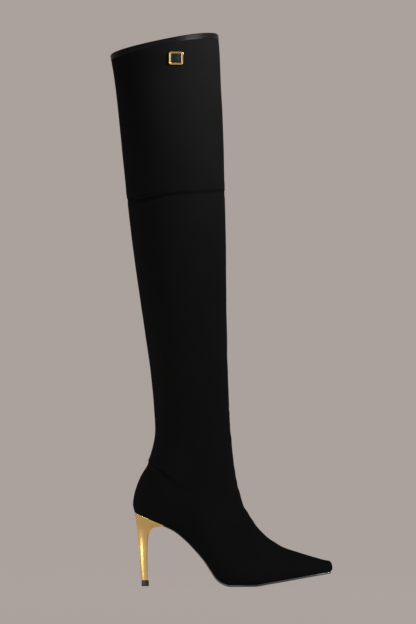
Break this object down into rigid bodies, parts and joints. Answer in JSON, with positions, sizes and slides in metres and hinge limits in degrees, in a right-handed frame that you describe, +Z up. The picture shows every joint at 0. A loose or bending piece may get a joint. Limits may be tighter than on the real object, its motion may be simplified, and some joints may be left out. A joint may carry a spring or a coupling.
{
  "type": "thigh high boot",
  "caption": "Black suede thigh high boot for a right foot, with a pointed toe, slim gold heel, knee seam and bound collar.",
  "frame": {"origin": "on the floor, at the middle of the flat underside of the heel tip", "axes": "+X from heel to toe, +Y to the inner (medial) side of the foot, +Z up along the shaft"},
  "size_m": [0.2621, 0.1137, 0.6506],
  "materials": {
    "suede": "fine napped stretch suede, matte black",
    "binding_leather": "smooth, half gloss",
    "sole": "smooth, satin, polished edge",
    "insole_board": "smooth, matte",
    "gold_metal": "satin gold plating",
    "tip_rubber": "hard, fine matte"
  },
  "bodies": {
    "root": {"upper": "suede", "thigh_panel": "suede", "collar_binding": "binding_leather", "outsole": "sole", "insole": "insole_board", "heel": "gold_metal", "heel_tip": "tip_rubber", "ornament": "gold_metal"}
  },
  "joints": []
}
